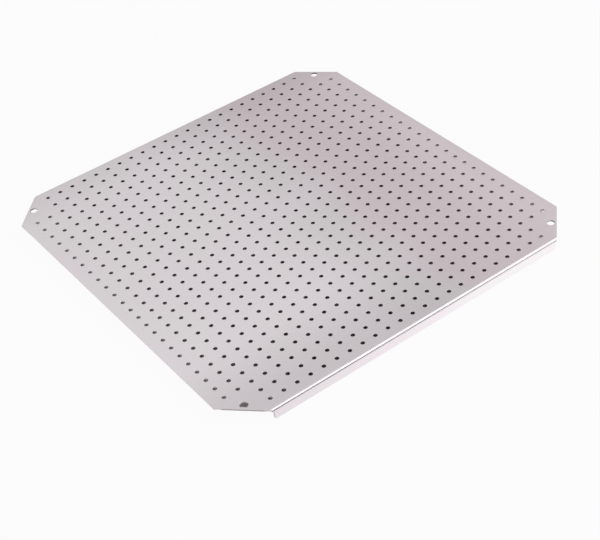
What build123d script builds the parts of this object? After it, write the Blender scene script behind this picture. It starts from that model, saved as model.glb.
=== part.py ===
"""A perforated mounting panel: one zinc-coated steel sheet with a grid of small holes, cut
corners, a fixing hole in each corner and a flange folded down along two opposite edges.

Lengths are in millimetres. X runs along the two flanges, Y across the panel from the front
flange to the back one, and Z up. The panel stands level on the lower edges of its flanges,
and the origin is at that level under its middle.
"""

from build123d import *

import os
from math import hypot, sqrt

# The sheet, its folds and its corners.
panel_length = 350.0  # along the flanges, between the two edges that aren't folded
panel_width = 360.0  # across, over the outer faces of the two flanges
sheet_thickness = 1.5
flange_height = 10.0  # from the lower edge of a flange to the panel's upper face
bend_radius = 1.0  # inside each fold
corner_cut = 31.0  # what each 45 degree corner takes off the two edges that it joins

# The small holes. Rows run across the panel and columns along it, and the back half of the
# panel has its columns wider apart than the front half.
perforation_diameter = 3.5
row_pitch = 12.5
back_column_pitch = 13.0
front_column_pitch = 12.0
edge_land = 10.5  # least distance from the middle of a small hole to any edge

# The fixing hole in each corner, with a plain land round it.
fixing_diameter = 6.5
fixing_inset = 19.0  # from the middle of the hole to both straight edges
fixing_land = 13.0  # least distance from the middle of a small hole to the middle of this one


def folded_sheet():
    """The sheet after folding, before its corners are cut: a shallow channel along X."""
    depth_inside = flange_height - sheet_thickness
    outside = Pos(0, flange_height / 2) * Rectangle(panel_width, flange_height)
    inside = Pos(0, depth_inside / 2) * Rectangle(panel_width - 2 * sheet_thickness, depth_inside)
    outside = fillet(outside.vertices().group_by(Axis.Y)[-1], bend_radius + sheet_thickness)
    inside = fillet(inside.vertices().group_by(Axis.Y)[-1], bend_radius)
    return extrude(Plane.YZ * (outside - inside), panel_length / 2, both=True)


def corner_outline():
    """The panel seen from above, with its four corners cut off at 45 degrees."""
    outline = Rectangle(panel_length, panel_width)
    return chamfer(outline.vertices(), corner_cut)


def row_places():
    """Where the rows are along X: as many as the edge land allows, centred on the panel."""
    steps = int((panel_length - 2 * edge_land) / row_pitch)
    return [(k - steps / 2) * row_pitch for k in range(steps + 1)]


def column_places():
    """Where the columns are along Y. Each half of the panel has as many steps of its own
    pitch as its edge land allows, and the field as a whole is centred on the panel."""
    half_field = panel_width / 2 - edge_land
    back_steps = int(half_field / back_column_pitch)
    front_steps = int(half_field / front_column_pitch)
    shared_column = (front_steps * front_column_pitch - back_steps * back_column_pitch) / 2
    back = [shared_column + k * back_column_pitch for k in range(back_steps + 1)]
    front = [shared_column - k * front_column_pitch for k in range(1, front_steps + 1)]
    return back + front


def fixing_places():
    """Where the four fixing holes are."""
    x, y = panel_length / 2 - fixing_inset, panel_width / 2 - fixing_inset
    return [(-x, -y), (x, -y), (-x, y), (x, y)]


def is_punched(x, y):
    """Whether the grid has a small hole here, clear of the fixing holes and the cut corners."""
    from_fixing = min(hypot(x - fx, y - fy) for fx, fy in fixing_places())
    from_cut = ((panel_length + panel_width) / 2 - corner_cut - abs(x) - abs(y)) / sqrt(2)
    return from_fixing > fixing_land and from_cut > edge_land


def perforation_places():
    """Where the small holes are."""
    return [(x, y) for x in row_places() for y in column_places() if is_punched(x, y)]


def punches(places, diameter):
    """Round punches through the panel, standing on the level of the flanges' lower edges."""
    return [Pos(x, y) * Cylinder(diameter / 2, 2 * flange_height) for x, y in places]


sheet = folded_sheet() & extrude(corner_outline(), flange_height)
sheet -= punches(fixing_places(), fixing_diameter)
sheet -= punches(perforation_places(), perforation_diameter)

os.makedirs("parts", exist_ok=True)
export_step(sheet, "parts/perforated_sheet.step")
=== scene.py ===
"""Looks of the perforated mounting panel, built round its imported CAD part. Metres."""

from bisect import bisect
from math import atan2, cos, pi, radians, sin

import bmesh
import bpy
from mathutils import Matrix, Quaternion, Vector


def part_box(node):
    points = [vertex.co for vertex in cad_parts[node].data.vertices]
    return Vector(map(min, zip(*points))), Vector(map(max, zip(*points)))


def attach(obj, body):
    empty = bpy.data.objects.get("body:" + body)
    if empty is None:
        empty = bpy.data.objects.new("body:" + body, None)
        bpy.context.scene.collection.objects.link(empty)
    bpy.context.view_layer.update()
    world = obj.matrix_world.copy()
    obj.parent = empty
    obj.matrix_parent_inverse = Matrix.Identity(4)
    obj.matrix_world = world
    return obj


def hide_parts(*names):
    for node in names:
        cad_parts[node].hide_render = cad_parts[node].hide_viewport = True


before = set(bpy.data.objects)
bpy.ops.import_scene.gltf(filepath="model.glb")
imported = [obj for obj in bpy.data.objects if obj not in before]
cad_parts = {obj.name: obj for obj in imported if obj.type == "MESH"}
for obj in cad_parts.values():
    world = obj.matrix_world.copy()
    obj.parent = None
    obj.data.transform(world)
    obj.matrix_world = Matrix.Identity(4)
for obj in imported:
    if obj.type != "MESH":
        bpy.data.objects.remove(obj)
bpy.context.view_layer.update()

# --- The flat sheet --------------------------------------------------------------------
# The panel is one sheet of steel, zinc coated at the mill. The blank is sheared to size and
# its four corners are cut off at 45 degrees before anything is punched or folded.

lowest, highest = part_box("perforated_sheet")
upper_face = highest.z
outer_fold_radius = 0.0025
corner_cut = 0.031
fold_line = highest.y - outer_fold_radius
hair = 1e-6

# The holes stand in rows along X and in columns along Y, with the columns of the back half
# a little wider apart than those of the front half.
row_count, columns_each_half = 27, 14
row_pitch, back_pitch, front_pitch = 0.0125, 0.013, 0.012
first_back_column = -0.0005
rows = [(k - row_count // 2) * row_pitch for k in range(row_count)]
front_columns = [first_back_column - k * front_pitch for k in range(columns_each_half, 0, -1)]
back_columns = [first_back_column + k * back_pitch for k in range(columns_each_half)]
columns = front_columns + back_columns


def lines_between(places):
    """Lines midway between neighbouring holes, and one as far again outside each end."""
    between = [(a + b) / 2 for a, b in zip(places, places[1:])]
    return [2 * places[0] - between[0], *between, 2 * places[-1] - between[-1]]


def cut_along(shape, faces, point, normal, drop_outside=False):
    """Cuts these faces of a mesh along a plane, and drops what lies outside it if asked."""
    parts = list(dict.fromkeys(part for face in faces for part in (face, *face.edges, *face.verts)))
    bmesh.ops.bisect_plane(
        shape, geom=parts, dist=hair, plane_co=point, plane_no=normal, clear_outer=drop_outside
    )


row_lines, column_lines = lines_between(rows), lines_between(columns)
sheet = bmesh.new()
flat = Matrix.Translation((0, 0, upper_face)) @ Matrix.Diagonal((highest.x, fold_line, 1, 1))
bmesh.ops.create_grid(sheet, x_segments=1, y_segments=1, size=1, matrix=flat)
for x in row_lines:
    cut_along(sheet, sheet.faces, (x, 0, 0), (1, 0, 0))
for y in column_lines:
    cut_along(sheet, sheet.faces, (0, y, 0), (0, 1, 0))
corners = [(sx, sy) for sx in (-1, 1) for sy in (-1, 1)]
for sx, sy in corners:
    on_cut = (sx * highest.x, sy * (highest.y - corner_cut), 0)
    cut_along(sheet, sheet.faces, on_cut, (sx, sy, 0), drop_outside=True)

# --- The corner lands and their fixing holes -------------------------------------------
# Each corner keeps a plain land, where the small holes of two rows and two columns are left
# out. One larger hole is punched through it for the bolt that fixes the panel.

fixing_radius, fixing_inset, fixing_sides = 0.00325, 0.019, 32
left_out = 2
for sx, sy in corners:
    inner_x = abs(row_lines[left_out])
    inner_y = abs(column_lines[left_out if sy < 0 else -1 - left_out])
    land = []
    for face in sheet.faces:
        middle = face.calc_center_median()
        if middle.x * sx > inner_x and middle.y * sy > inner_y:
            land.append(face)
    land = bmesh.ops.dissolve_faces(sheet, faces=land)["region"]
    border = list({edge for face in land for edge in face.edges})
    bmesh.ops.delete(sheet, geom=land, context="FACES_ONLY")
    middle = (sx * (highest.x - fixing_inset), sy * (highest.y - fixing_inset), upper_face)
    hole = bmesh.ops.create_circle(
        sheet, segments=fixing_sides, radius=fixing_radius, matrix=Matrix.Translation(middle)
    )["verts"]
    border += list({edge for vertex in hole for edge in vertex.link_edges})
    bmesh.ops.triangle_fill(sheet, use_beauty=True, edges=border, normal=(0, 0, 1))

# --- The punched holes -----------------------------------------------------------------
# All the other places of the grid have a small round hole, straight through the sheet. The
# face of each cell is drawn in to a ring of points on the hole's edge, and then taken out.

hole_radius, hole_sides = 0.00175, 16
step = 2 * pi / hole_sides
cells = {}
for face in sheet.faces:
    middle = face.calc_center_median()
    cells[bisect(row_lines, middle.x), bisect(column_lines, middle.y)] = face
punched = []
for i, x in enumerate(rows):
    for j, y in enumerate(columns):
        from_end_row = min(i, len(rows) - 1 - i)
        from_end_column = min(j, len(columns) - 1 - j)
        if max(from_end_row, from_end_column) >= left_out:
            punched.append((x, y, cells[i + 1, j + 1]))
hole_faces = [face for _, _, face in punched]
cell_edges = list({edge for face in hole_faces for edge in face.edges})
bmesh.ops.bisect_edges(sheet, edges=cell_edges, cuts=hole_sides // 4 - 1)
bmesh.ops.inset_individual(sheet, faces=hole_faces, thickness=hole_radius)
for x, y, face in punched:
    around = {(atan2(v.co.y - y, v.co.x - x) + step / 2) % (2 * pi): v for v in face.verts}
    for k, turn in enumerate(sorted(around)):
        on_ring = (x + hole_radius * cos(k * step), y + hole_radius * sin(k * step), upper_face)
        around[turn].co = on_ring
bmesh.ops.delete(sheet, geom=hole_faces, context="FACES_ONLY")

# --- The folded flanges ----------------------------------------------------------------
# The front and back edges are folded down through a right angle on a press brake, with a
# small radius, and the panel stands on these two flanges. Each stops a little short of the
# corner cuts, and has its two lower corners rounded off.

sheet_thickness, fold_steps = 0.0015, 12
flange_setback, flange_corner, corner_steps = 0.0015, 0.002, 5
flange_end = highest.x - corner_cut - flange_setback
fold_end = upper_face - outer_fold_radius
flange_middle = (fold_end + lowest.z) / 2


def beyond(parts, side, top):
    """Those faces or edges that lie past one side's fold line, no higher than this."""
    found = []
    for part in parts:
        middle = sum((vertex.co for vertex in part.verts), Vector()) / len(part.verts)
        if middle.y * side > fold_line - hair and middle.z < top + hair:
            found.append(part)
    return found


for side in (-1, 1):
    bmesh.ops.spin(
        sheet, geom=beyond(sheet.edges, side, upper_face),
        cent=(0, side * fold_line, fold_end), axis=(1, 0, 0), angle=-side * pi / 2,
        steps=fold_steps, use_merge=False
    )
    for sx in (-1, 1):
        on_cut = (sx * highest.x, side * (highest.y - corner_cut), 0)
        cut_along(sheet, beyond(sheet.faces, side, upper_face), on_cut, (sx, side, 0), drop_outside=True)
    flange = bmesh.ops.extrude_edge_only(sheet, edges=beyond(sheet.edges, side, fold_end))["geom"]
    lower_edge = [part for part in flange if isinstance(part, bmesh.types.BMVert)]
    bmesh.ops.translate(sheet, verts=lower_edge, vec=(0, 0, lowest.z - fold_end))
    for sx in (-1, 1):
        cut_along(sheet, beyond(sheet.faces, side, flange_middle), (sx * flange_end, 0, 0), (sx, 0, 0))
    flange = beyond(sheet.faces, side, flange_middle)
    past_ends = [face for face in flange if abs(face.calc_center_median().x) > flange_end]
    bmesh.ops.delete(sheet, geom=past_ends, context="FACES")
    lower_corners = []
    for vertex in sheet.verts:
        at_end = abs(abs(vertex.co.x) - flange_end) < hair
        if at_end and vertex.co.z < lowest.z + hair and vertex.co.y * side > 0:
            lower_corners.append(vertex)
    bmesh.ops.bevel(
        sheet, geom=lower_corners, offset=flange_corner, offset_type="OFFSET", affect="VERTICES",
        segments=corner_steps, profile=0.5, material=-1, clamp_overlap=True
    )
bmesh.ops.recalc_face_normals(sheet, faces=sheet.faces)
bmesh.ops.solidify(sheet, geom=sheet.faces[:], thickness=sheet_thickness)

# --- The edges ---------------------------------------------------------------------------
# Shearing and punching leave every edge a little rounded where the tool goes in, so the
# arrises catch the light. They are broken by a narrow flat, and shaded as if it were round.

rounding, sharp_angle = 0.00018, radians(50)
arrises = [edge for edge in sheet.edges if edge.calc_face_angle() > sharp_angle]
bmesh.ops.bevel(
    sheet, geom=arrises, offset=rounding, offset_type="OFFSET", affect="EDGES",
    segments=1, profile=0.5, material=-1, clamp_overlap=True
)
for face in sheet.faces:
    face.smooth = True
zinc_sheet = bpy.data.objects.new("zinc_coated_sheet", bpy.data.meshes.new("zinc_coated_sheet"))
bpy.context.scene.collection.objects.link(zinc_sheet)
sheet.to_mesh(zinc_sheet.data)
sheet.free()
flat_faces = zinc_sheet.modifiers.new("flat_faces", "WEIGHTED_NORMAL")
flat_faces.keep_sharp = True
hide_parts("perforated_sheet")
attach(zinc_sheet, "root")

# --- The zinc coat -----------------------------------------------------------------------
# The finished panel is zinc plated and passivated: a satin grey coat with a soft bloom of
# pink and blue-green, and fine lines that rolling left in the steel along X. The walls of the
# holes are rougher and darker, partly as duller steel and partly as painted shade, and the
# sheared ends of the flanges are darkened with painted shade.


class Value:
    """A socket in a node tree, so that shader maths reads as plain expressions."""

    def __init__(self, tree, socket=None):
        self.tree, self.socket = tree, socket

    def node(self, kind, settings, inputs, output=0):
        """Adds any other node: its type, its settings, then the values or links of its sockets."""
        made = self.tree.nodes.new(kind)
        for name, value in settings.items():
            setattr(made, name, value)
        for name, value in inputs.items():
            if isinstance(value, Value):
                self.tree.links.new(value.socket, made.inputs[name])
            else:
                made.inputs[name].default_value = value
        return Value(self.tree, made.outputs[output])

    def maths(self, operation, *values):
        return self.node("ShaderNodeMath", {"operation": operation}, dict(enumerate(values)))

    def __add__(self, other):
        return self.maths("ADD", self, other)

    def __sub__(self, other):
        return self.maths("SUBTRACT", self, other)

    def __rsub__(self, other):
        return self.maths("SUBTRACT", other, self)

    def __mul__(self, other):
        return self.maths("MULTIPLY", self, other)

    __radd__, __rmul__ = __add__, __mul__


def smooth(value, start, end):
    """0 before start and 1 after end, with a soft step between them; start may be the larger."""
    low, high, to_low, to_high = (start, end, 0.0, 1.0) if start < end else (end, start, 1.0, 0.0)
    settings = {"interpolation_type": "SMOOTHSTEP"}
    inputs = {"Value": value, "From Min": low, "From Max": high, "To Min": to_low, "To Max": to_high}
    return value.node("ShaderNodeMapRange", settings, inputs)


def blend_colours(share, first, second):
    """The first colour where share is 0 and the second where it is 1."""
    return share.node("ShaderNodeMix", {"data_type": "RGBA"}, {0: share, 6: first, 7: second}, 2)


def grain(place, scale, stretch=(1, 1, 1), detail=2.0):
    """Noise between 0 and 1, stretched along the axes."""
    stretched = place.node("ShaderNodeMapping", {}, {"Vector": place, "Scale": stretch})
    return stretched.node("ShaderNodeTexNoise", {}, {"Vector": stretched, "Scale": scale, "Detail": detail})


material = bpy.data.materials.new("zinc_coated_steel")
material.use_nodes = True
tree = material.node_tree
place = Value(tree).node("ShaderNodeTexCoord", {}, {}, "Object")
along = place.node("ShaderNodeSeparateXYZ", {}, {0: place}, "X")
across = place.node("ShaderNodeSeparateXYZ", {}, {0: place}, "Y")
level = place.node("ShaderNodeSeparateXYZ", {}, {0: place}, "Z")
depth = upper_face - level
from_middle_x = along.maths("ABSOLUTE", along)
from_middle_y = across.maths("ABSOLUTE", across)
on_flange = smooth(depth, 0.0005, 0.003)
within_sheet = smooth(depth, 0.0002, 0.0005) * smooth(depth, sheet_thickness, sheet_thickness - 0.0003)
off_ends = smooth(from_middle_x, highest.x - 0.003, highest.x - 0.005)
off_folds = smooth(from_middle_y, highest.y - 0.003, highest.y - 0.005)
in_hole = within_sheet * off_ends * off_folds
# The sheared end faces of the flanges, where painted shade darkens the colour.
flange_cut = smooth(from_middle_x, flange_end - 0.0005, flange_end - 0.0001)
flange_cut = flange_cut * smooth(level, fold_end, fold_end - 0.0005)
cloud = grain(place, 9.0, detail=3.0) - 0.5
drift = along + cloud * 0.08
neutral, pink, green = (0.80, 0.739, 0.771, 1), (0.80, 0.708, 0.741, 1), (0.785, 0.752, 0.766, 1)
bloom = blend_colours(smooth(grain(place, 14.0), 0.45, 0.65), neutral, green)
bloom = blend_colours(smooth(drift, 0.03, 0.07) * (1 - on_flange), bloom, pink)

# The upper face is darkened in broad patches of painted shade: near the front and back edges, and in a band
# to the right that is partly the coat's darker pink bloom. The flanges are without them, and carry painted
# light that grows towards the right.
# Painted shade on the upper face: in a band to the right with less beyond it, at the front, and at the
# back.
right_painted_shade = smooth(drift, -0.06, 0.09) * 0.17 - smooth(drift, 0.10, 0.19) * 0.09
front_painted_shade = smooth(across, -0.09, -0.175) * (0.20 - smooth(along, -0.02, 0.11) * 0.19)
back_painted_shade = smooth(across, 0.13, 0.18) * 0.08
painted_shade = right_painted_shade + front_painted_shade + back_painted_shade
# Painted light on the flanges, brighter towards the right.
flange_painted_light = smooth(along, -0.16, 0.11) * 0.21 - 0.06
lines = grain(place, 1.0, (14, 900, 900)) - 0.5
speckle = grain(place, 1400.0) - 0.5
# The tone of the coat before the painted shade is taken off.
unshaded_tone, hole_painted_shade, end_painted_shade = 1.09, 0.5, 0.35
tone = unshaded_tone - painted_shade + (flange_painted_light + painted_shade) * on_flange + lines * 0.05 + speckle * 0.02
# The hole walls are darkened, partly as duller sheared steel and partly as painted shade; the flange ends
# as painted shade.
tone = tone * (1 - in_hole * hole_painted_shade - flange_cut * end_painted_shade)
colour = bloom.node("ShaderNodeVectorMath", {"operation": "SCALE"}, {0: bloom, "Scale": tone})
satin, hole_roughening = 0.28, 0.25
roughness = satin + lines * 0.05 + cloud * 0.06 + in_hole * hole_roughening
height = lines * 0.5 + speckle
bump = height.node("ShaderNodeBump", {}, {"Strength": 0.15, "Distance": 0.00002, "Height": height})
shader = tree.nodes["Principled BSDF"]
shader.inputs["Metallic"].default_value = 1.0
tree.links.new(colour.socket, shader.inputs["Base Color"])
tree.links.new(roughness.socket, shader.inputs["Roughness"])
tree.links.new(bump.socket, shader.inputs["Normal"])
zinc_sheet.data.materials.append(material)

# --- The floor --------------------------------------------------------------------------
# White paper, far wider than the view. It shows as white outside the panel and, as painted light, a little
# way in under its left side and three of its corners; further under the panel it has only the light that
# gets in.

floor_radius = 12
floor_mesh = bmesh.new()
bmesh.ops.create_circle(floor_mesh, cap_ends=True, segments=64, radius=floor_radius)
floor = bpy.data.objects.new("floor", bpy.data.meshes.new("floor"))
floor_mesh.to_mesh(floor.data)
floor_mesh.free()
bpy.context.scene.collection.objects.link(floor)
paper = bpy.data.materials.new("white_paper")
paper.use_nodes = True
tree = paper.node_tree
place = Value(tree).node("ShaderNodeTexCoord", {}, {}, "Object")
x = place.node("ShaderNodeSeparateXYZ", {}, {0: place}, "X")
y = place.node("ShaderNodeSeparateXYZ", {}, {0: place}, "Y")

# Outside a shape like the panel's own the floor is painted white: four sides, and four corners
# cut at 45 degrees that reach further out at the back. The painted white covers the real shade
# a little way in under the panel's left side and its front and back-left corners.
shade_middle, shade_reach, shade_blur = (0.004, 0.001), (0.171, 0.180), 0.001
past_x = x.maths("ABSOLUTE", x - shade_middle[0]) - shade_reach[0]
past_y = y.maths("ABSOLUTE", y - shade_middle[1]) - shade_reach[1]
back_right, back_left = smooth(x + y, 0.20, 0.25), smooth(y - x, 0.20, 0.25)
corner_reach = 0.3075 + back_right * 0.0195 + back_left * 0.0065
past_corner = (x.maths("ABSOLUTE", x) + x.maths("ABSOLUTE", y) - corner_reach) * cos(pi / 4)
outside = x.maths("MAXIMUM", x.maths("MAXIMUM", past_x, past_y), past_corner)
# Where the floor is painted white, also over some of the shade under the panel's edges.
floor_painted_white = smooth(outside, -shade_blur, shade_blur)
rays = tree.nodes.new("ShaderNodeLightPath")
seen = Value(tree, rays.outputs["Is Camera Ray"])
seen = seen.maths("MAXIMUM", seen, Value(tree, rays.outputs["Is Glossy Ray"]))
seen = seen.maths("MAXIMUM", seen, Value(tree, rays.outputs["Is Transmission Ray"]))
whiteness = 0.95
share = seen * floor_painted_white * whiteness
matt = tree.nodes.new("ShaderNodeBsdfDiffuse")
matt.inputs["Color"].default_value = (0.53, 0.48, 0.49, 1)
white = tree.nodes.new("ShaderNodeEmission")
white.inputs["Strength"].default_value = 1.0
mixed = tree.nodes.new("ShaderNodeMixShader")
tree.links.new(share.socket, mixed.inputs[0])
tree.links.new(matt.outputs[0], mixed.inputs[1])
tree.links.new(white.outputs[0], mixed.inputs[2])
tree.links.new(mixed.outputs[0], tree.nodes["Material Output"].inputs["Surface"])
floor.data.materials.append(paper)

# --- The studio -------------------------------------------------------------------------
# A pale room, lighter overhead and to the front right, and darker to the left and straight
# in front of the panel, with one large softbox above it.

world = bpy.data.worlds.new("studio")
world.use_nodes = True
bpy.context.scene.world = world
tree = world.node_tree
way = Value(tree).node("ShaderNodeTexCoord", {}, {}, "Generated")
up = way.node("ShaderNodeSeparateXYZ", {}, {0: way}, "Z")


def towards(direction, start, end):
    """0 up to a cosine of start away from this direction, and 1 from a cosine of end on."""
    product = {"operation": "DOT_PRODUCT"}
    nearness = way.node("ShaderNodeVectorMath", product, {0: way, 1: direction}, "Value")
    return smooth(nearness, start, end)


front_right, left, straight_front = (0.78, -0.55, 0.30), (-1.0, 0.0, 0.0), (0.25, -0.955, 0.16)
walls = 0.60 + smooth(up, 0.3, 0.8) * 0.24
walls = walls + towards(front_right, 0.75, 0.95) * 0.5
walls = walls * (1 - towards(left, 0.2, 0.8) * 0.7)
walls = walls * (1 - towards(straight_front, 0.88, 0.97) * 0.95)
tree.links.new(walls.socket, tree.nodes["Background"].inputs["Color"])


def out_from_panel(azimuth, elevation):
    """The way out to a lamp or camera, in degrees round from the front and up from the floor."""
    a, e = radians(azimuth), radians(elevation)
    return Vector((sin(a) * cos(e), -cos(a) * cos(e), sin(e)))


softbox_size, softbox_power, softbox_distance = (1.3, 0.95), 4.8, 1.5
softbox = bpy.data.lights.new("key_softbox", "AREA")
softbox.shape = "RECTANGLE"
softbox.size, softbox.size_y = softbox_size
softbox.energy = softbox_power
lamp = bpy.data.objects.new("key_softbox", softbox)
out = out_from_panel(47, 49)
lamp.location = softbox_distance * out
lamp.rotation_mode = "QUATERNION"
lamp.rotation_quaternion = (-out).to_track_quat("-Z", "Y")
bpy.context.scene.collection.objects.link(lamp)

# --- The camera -------------------------------------------------------------------------
# A long lens looks down on the panel from the front left, with the front flange in view. The
# camera is rolled a little to one side.

camera = bpy.data.objects.new("camera", bpy.data.cameras.new("camera"))
bpy.context.scene.collection.objects.link(camera)
bpy.context.scene.camera = camera
out, roll = out_from_panel(-32.779, 39.696), radians(-6.728)
aim, distance = Vector((-0.03306, -0.06734, upper_face)), 1.1394
camera.location = aim + distance * out
camera.rotation_mode = "QUATERNION"
camera.rotation_quaternion = (-out).to_track_quat("-Z", "Y") @ Quaternion((0, 0, 1), roll)
camera.data.lens = 84.17
camera.data.sensor_width = 36
camera.data.shift_x, camera.data.shift_y = -0.0008, 0.0008
bpy.context.scene.view_settings.view_transform = "Standard"
